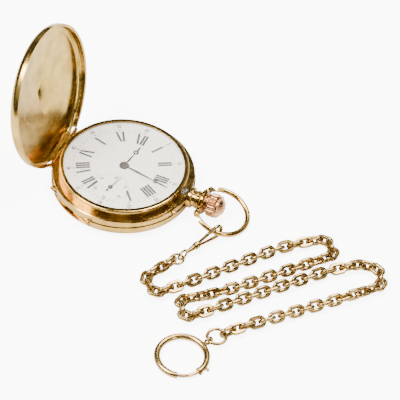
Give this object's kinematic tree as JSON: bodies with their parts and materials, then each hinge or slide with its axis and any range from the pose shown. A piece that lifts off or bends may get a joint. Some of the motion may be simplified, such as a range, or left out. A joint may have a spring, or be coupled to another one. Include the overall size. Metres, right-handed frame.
{
  "type": "pocket watch",
  "caption": "Hunter-cased pocket watch with its lid open, white roman dial, sub-seconds, crown, bow, swivel and a heavy link chain ending in a bolt ring.",
  "frame": {"origin": "middle of the flat of the back cover, where the watch rests", "axes": "+X towards the crown and bow, +Y across the case to the side away from the small seconds, +Z out of the dial"},
  "size_m": [0.1349, 0.0961, 0.0545],
  "materials": {
    "gold": "polished",
    "rose_gold": "polished",
    "movement_brass": "satin",
    "steel": "polished",
    "blued_steel": "polished",
    "enamel": "gloss",
    "ruby": "polished",
    "crystal_glass": "polished"
  },
  "bodies": {
    "case": {"case_middle": "gold", "pendant": "gold", "lid_hinge_pin": "gold", "back_hinge_pin": "gold", "bezel": "gold", "crystal": "crystal_glass", "lid_spring": "steel", "bow_screws": "gold", "setting_pin_guard": "gold", "dial": "enamel", "sub_dial": "enamel", "main_plate": "movement_brass", "barrel_bridge": "movement_brass", "train_bridge": "movement_brass", "balance_cock": "movement_brass", "pallet_cock": "movement_brass", "jewels": "ruby", "bridge_screws": "blued_steel"},
    "lid": {"lid": "gold"},
    "back": {"back_cover": "gold"},
    "cuvette": {"cuvette": "gold"},
    "stem": {"stem_sleeve": "steel"},
    "crown": {"crown": "rose_gold", "winding_stem": "steel"},
    "lock": {"lock_spring": "steel"},
    "winding": {"winding_pinion": "steel", "clutch_wheel": "steel"},
    "crown_wheel": {"crown_wheel": "steel"},
    "ratchet": {"ratchet_wheel": "steel", "barrel_arbor": "steel"},
    "click": {"click": "steel"},
    "barrel": {"barrel": "movement_brass", "mainspring": "blued_steel"},
    "centre": {"centre_wheel": "movement_brass", "cannon_pinion": "steel", "minute_hand": "blued_steel"},
    "minute_wheel": {"minute_wheel": "movement_brass"},
    "hour": {"hour_wheel": "movement_brass", "hour_hand": "blued_steel"},
    "third": {"third_wheel": "movement_brass"},
    "fourth": {"fourth_wheel": "movement_brass", "seconds_hand": "blued_steel"},
    "escape": {"escape_wheel": "movement_brass"},
    "pallet": {"pallet_lever": "steel"},
    "balance": {"balance_wheel": "movement_brass", "hairspring": "blued_steel"},
    "regulator": {"regulator": "steel"},
    "setting_pin": {"setting_pin": "gold"},
    "bow": {"bow": "gold", "swivel_hook": "gold"},
    "gate": {"swivel_gate": "rose_gold"},
    "neck": {"swivel_eye": "gold"},
    "chain_1": {"jump_rings": "gold", "chain_run_1": "gold"},
    "chain_2": {"chain_run_2": "gold"},
    "chain_3": {"chain_run_3": "gold"},
    "chain_4": {"chain_run_4": "gold"},
    "end_ring": {"end_ring": "gold"},
    "bolt_ring": {"bolt_ring": "gold"},
    "bolt_slider": {"bolt_slider": "rose_gold"}
  },
  "joints": [
    {"name": "lid_hinge", "type": "hinge", "parent": "case", "child": "lid", "pos_m": [-0.0232, 0, 0.00715], "axis": [0, 1, 0], "range_deg": [0, 101], "stiffness_Nm_per_rad": 0.002, "springref_deg": -34.38},
    {"name": "back_hinge", "type": "hinge", "parent": "case", "child": "back", "pos_m": [-0.01058, -0.02076, 0.0038], "axis": [-0.891, 0.454, 0], "range_deg": [0, 100]},
    {"name": "cuvette_hinge", "type": "hinge", "parent": "case", "child": "cuvette", "pos_m": [-0.01058, -0.02076, 0.0038], "axis": [-0.891, 0.454, 0], "range_deg": [0, 88]},
    {"name": "crown_press", "type": "slide", "parent": "case", "child": "stem", "axis": [-1, 0, 0], "range_m": [0, 0.0005], "stiffness_N_per_m": 800},
    {"name": "lock_release", "type": "slide", "parent": "case", "child": "lock", "axis": [-1, 0, 0], "range_m": [0, 0.0005]},
    {"name": "crown_turn", "type": "hinge", "parent": "stem", "child": "crown", "pos_m": [0.0318, 0, 0.0052], "axis": [1, 0, 0], "continuous": true},
    {"name": "winding_pinion_turn", "type": "hinge", "parent": "case", "child": "winding", "pos_m": [0.016, 0, 0.0052], "axis": [1, 0, 0], "continuous": true},
    {"name": "crown_wheel_turn", "type": "hinge", "parent": "case", "child": "crown_wheel", "pos_m": [0.0132, 0, 0.0015], "axis": [0, 0, 1], "continuous": true},
    {"name": "ratchet_turn", "type": "hinge", "parent": "case", "child": "ratchet", "pos_m": [0.00636, 0.00758, 0.0015], "axis": [0, 0, 1], "continuous": true},
    {"name": "click_lift", "type": "hinge", "parent": "case", "child": "click", "pos_m": [0.00251, 0.01426, 0.0016], "axis": [0, 0, -1], "range_deg": [0, 8], "stiffness_Nm_per_rad": 0.00001},
    {"name": "third_turn", "type": "hinge", "parent": "case", "child": "third", "pos_m": [0.00487, -0.00647, 0.0036], "axis": [0, 0, 1], "continuous": true},
    {"name": "centre_turn", "type": "hinge", "parent": "case", "child": "centre", "pos_m": [0, 0, 0.003], "axis": [0, 0, 1], "continuous": true},
    {"name": "barrel_turn", "type": "hinge", "parent": "case", "child": "barrel", "pos_m": [0.00636, 0.00758, 0.004], "axis": [0, 0, 1], "continuous": true},
    {"name": "minute_wheel_turn", "type": "hinge", "parent": "case", "child": "minute_wheel", "pos_m": [0.00376, 0.00137, 0.0074], "axis": [0, 0, 1], "continuous": true},
    {"name": "hour_turn", "type": "hinge", "parent": "case", "child": "hour", "pos_m": [0, 0, 0.0078], "axis": [0, 0, 1], "continuous": true},
    {"name": "fourth_turn", "type": "hinge", "parent": "case", "child": "fourth", "pos_m": [0, -0.0112, 0.0044], "axis": [0, 0, 1], "continuous": true},
    {"name": "escape_turn", "type": "hinge", "parent": "case", "child": "escape", "pos_m": [-0.00521, -0.0126, 0.004], "axis": [0, 0, 1], "continuous": true},
    {"name": "pallet_rock", "type": "hinge", "parent": "case", "child": "pallet", "pos_m": [-0.00699, -0.01006, 0.004], "axis": [0, 0, 1], "range_deg": [-5, 5]},
    {"name": "balance_swing", "type": "hinge", "parent": "case", "child": "balance", "pos_m": [-0.0096, -0.0063, 0.0033], "axis": [0, 0, 1], "range_deg": [-140, 140], "stiffness_Nm_per_rad": 0.000002},
    {"name": "regulator_set", "type": "hinge", "parent": "case", "child": "regulator", "pos_m": [-0.0096, -0.0063, 0.0018], "axis": [0, 0, 1], "range_deg": [-20, 20]},
    {"name": "setting_pin_push", "type": "slide", "parent": "case", "child": "setting_pin", "axis": [-0.9272, 0.3746, 0], "range_m": [0, 0.0005], "stiffness_N_per_m": 100},
    {"name": "bow_swing", "type": "hinge", "parent": "case", "child": "bow", "pos_m": [0.0301, 0, 0.0052], "axis": [0, -1, 0], "range_deg": [0, 35]},
    {"name": "gate_open", "type": "hinge", "parent": "bow", "child": "gate", "pos_m": [0.03539, -0.01687, 0.00198], "axis": [0.9135, -0.4067, 0], "range_deg": [0, 5], "stiffness_Nm_per_rad": 0.0005},
    {"name": "swivel_turn", "type": "hinge", "parent": "bow", "child": "neck", "pos_m": [0.03881, -0.00919, 0.00313], "axis": [-0.4063, -0.9125, -0.0471], "range_deg": [-12, 12]},
    {"name": "chain_level", "type": "hinge", "parent": "bow", "child": "chain_1", "pos_m": [0.0326, -0.02316, 0.00241], "axis": [0, -1, 0], "range_deg": [-36, 1]},
    {"name": "chain_bend_1", "type": "hinge", "parent": "chain_1", "child": "chain_2", "pos_m": [0.07783, 0.00094, 0.00222], "axis": [0, 0, 1], "range_deg": [-1, 3]},
    {"name": "chain_bend_2", "type": "hinge", "parent": "chain_2", "child": "chain_3", "pos_m": [0.04318, -0.0467, 0.00222], "axis": [0, 0, 1], "range_deg": [-3, 1]},
    {"name": "chain_bend_3", "type": "hinge", "parent": "chain_3", "child": "chain_4", "pos_m": [0.09716, -0.00464, 0.00222], "axis": [0, 0, 1], "range_deg": [-1, 3]},
    {"name": "end_ring_swing", "type": "hinge", "parent": "chain_4", "child": "end_ring", "pos_m": [0.05846, -0.04789, 0.002], "axis": [0, 0, 1], "range_deg": [-4, 8]},
    {"name": "bolt_ring_swing", "type": "hinge", "parent": "end_ring", "child": "bolt_ring", "pos_m": [0.05493, -0.05298, 0.0015], "axis": [0, 0, 1], "range_deg": [-4, 8]},
    {"name": "bolt_slide", "type": "hinge", "parent": "bolt_ring", "child": "bolt_slider", "pos_m": [0.04938, -0.062, 0.0011], "axis": [0, 0, 1], "range_deg": [0, 36], "stiffness_Nm_per_rad": 0.002}
  ],
  "couplings": [
    {"joint": "cuvette_hinge", "follows": "back_hinge", "ratio": 0.87},
    {"joint": "lock_release", "follows": "crown_press", "ratio": 1},
    {"joint": "winding_pinion_turn", "follows": "crown_turn", "ratio": 1},
    {"joint": "crown_wheel_turn", "follows": "crown_turn", "ratio": 0.5},
    {"joint": "ratchet_turn", "follows": "crown_turn", "ratio": -0.36364},
    {"joint": "centre_turn", "follows": "third_turn", "ratio": -0.125},
    {"joint": "barrel_turn", "follows": "third_turn", "ratio": 0.015625},
    {"joint": "minute_wheel_turn", "follows": "third_turn", "ratio": 0.041667},
    {"joint": "hour_turn", "follows": "third_turn", "ratio": -0.010417},
    {"joint": "fourth_turn", "follows": "third_turn", "ratio": -7.5},
    {"joint": "escape_turn", "follows": "third_turn", "ratio": 75},
    {"joint": "chain_level", "follows": "bow_swing", "ratio": -1}
  ]
}
